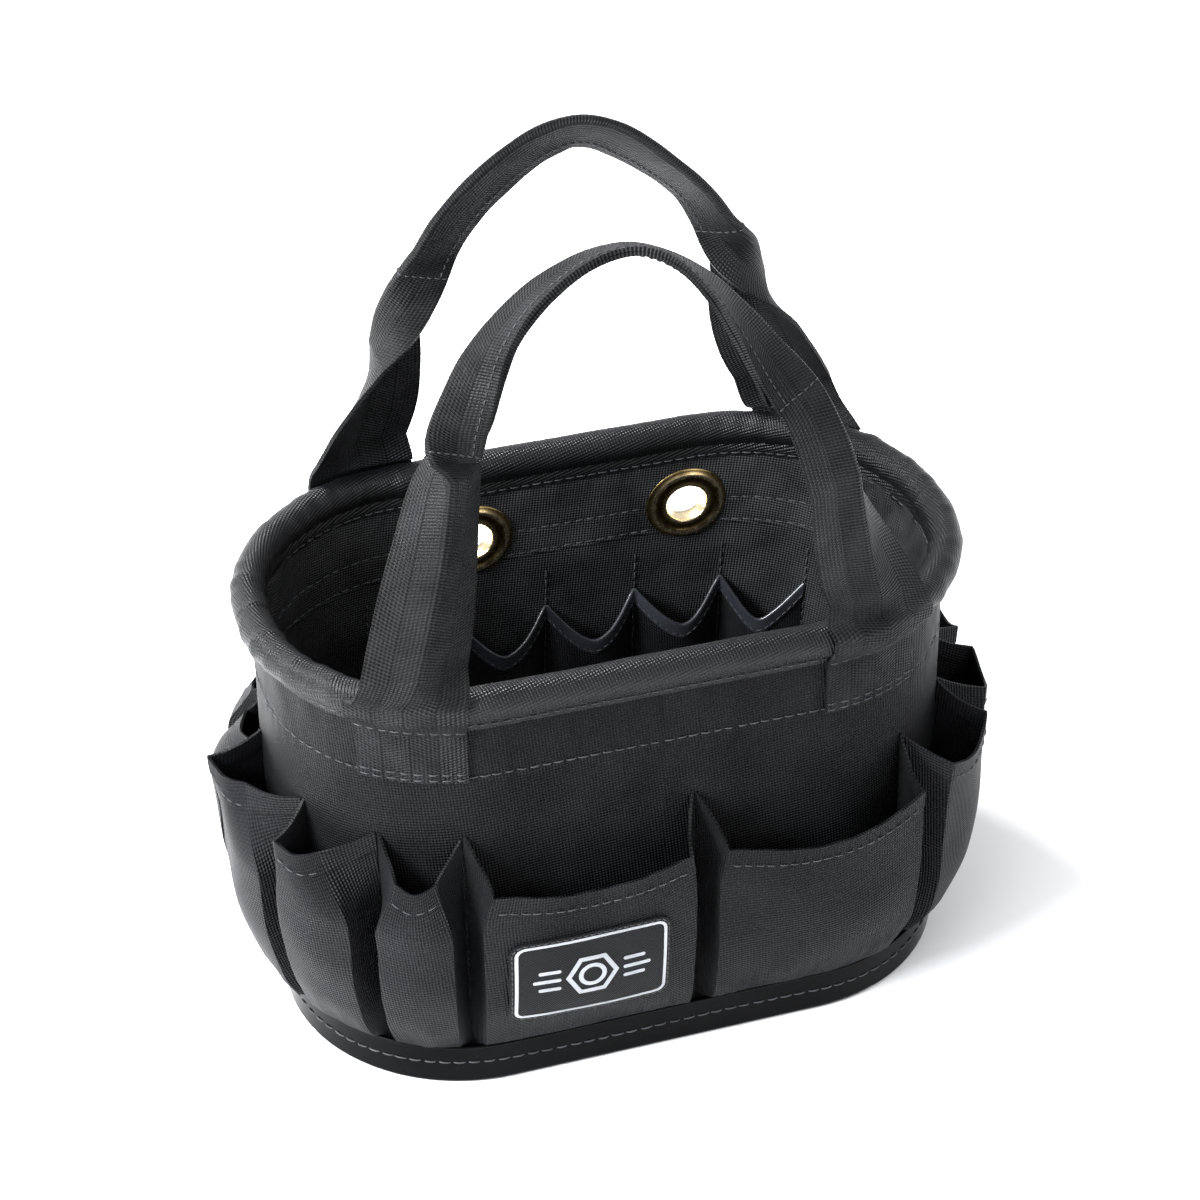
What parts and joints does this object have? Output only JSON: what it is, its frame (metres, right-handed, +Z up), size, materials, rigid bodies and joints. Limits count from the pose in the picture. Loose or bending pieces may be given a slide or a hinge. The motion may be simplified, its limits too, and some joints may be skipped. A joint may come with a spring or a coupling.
{
  "type": "tool bucket organizer",
  "caption": "Open oval fabric tote with a moulded base, a rolled rim, bellows pockets outside, flat pockets inside and two swinging webbing handles.",
  "frame": {"origin": "middle of the underside of the base tray, on the floor", "axes": "+X along the long side to the right as seen from the front, -Y the front with the badge, +Z up"},
  "size_m": [0.4313, 0.2805, 0.4724],
  "materials": {
    "tray_plastic": "glossy black moulded plastic",
    "board_plastic": "fabric-faced stiff board",
    "stiffener_sheet": "matte sheet, hidden between two fabrics",
    "shell_fabric": "charcoal black ballistic nylon",
    "lining_fabric": "charcoal black nylon",
    "rim_fabric": "charcoal black nylon, rolled",
    "core_plastic": "hidden tube",
    "grommet_brass": "antique brass",
    "pocket_fabric": "charcoal black ballistic nylon",
    "inner_fabric": "charcoal black nylon",
    "binding_vinyl": "black vinyl tape, semi-gloss",
    "label_patch": "woven badge with a silver border",
    "webbing": "ribbed black webbing"
  },
  "bodies": {
    "bucket": {"base_tray": "tray_plastic", "base_board": "board_plastic", "outer_shell": "shell_fabric", "lining": "lining_fabric", "stiffener_rear": "stiffener_sheet", "stiffener_front": "stiffener_sheet", "stiffener_left": "stiffener_sheet", "stiffener_right": "stiffener_sheet", "rim_cover": "rim_fabric", "rim_core": "core_plastic", "grommet_left_eyelet": "grommet_brass", "grommet_left_washer": "grommet_brass", "grommet_right_eyelet": "grommet_brass", "grommet_right_washer": "grommet_brass", "outer_pocket_01": "pocket_fabric", "outer_pocket_02": "pocket_fabric", "outer_pocket_03": "pocket_fabric", "outer_pocket_04": "pocket_fabric", "outer_pocket_05": "pocket_fabric", "outer_pocket_06": "pocket_fabric", "outer_pocket_07": "pocket_fabric", "outer_pocket_08": "pocket_fabric", "outer_pocket_09": "pocket_fabric", "outer_pocket_10": "pocket_fabric", "outer_pocket_11": "pocket_fabric", "outer_pocket_12": "pocket_fabric", "outer_pocket_13": "pocket_fabric", "outer_pocket_14": "pocket_fabric", "outer_pocket_15": "pocket_fabric", "label": "label_patch", "inner_pocket_front_1": "inner_fabric", "inner_pocket_front_2": "inner_fabric", "inner_pocket_front_3": "inner_fabric", "inner_pocket_front_4": "inner_fabric", "inner_pocket_front_5": "inner_fabric", "inner_pocket_rear_1": "inner_fabric", "inner_pocket_rear_2": "inner_fabric", "inner_pocket_rear_3": "inner_fabric", "inner_pocket_rear_4": "inner_fabric", "inner_pocket_rear_5": "inner_fabric", "inner_binding_front": "binding_vinyl", "inner_binding_rear": "binding_vinyl", "tab_front_left": "webbing", "tab_front_right": "webbing", "tab_rear_left": "webbing", "tab_rear_right": "webbing"},
    "front_handle": {"handle_front": "webbing"},
    "rear_handle": {"handle_rear": "webbing"}
  },
  "joints": [
    {"name": "front_handle_swing", "type": "hinge", "parent": "bucket", "child": "front_handle", "pos_m": [0, -0.1074, 0.267], "axis": [1, 0, 0], "range_deg": [-16, 157]},
    {"name": "rear_handle_swing", "type": "hinge", "parent": "bucket", "child": "rear_handle", "pos_m": [0, 0.1074, 0.267], "axis": [-1, 0, 0], "range_deg": [-16, 157]}
  ]
}
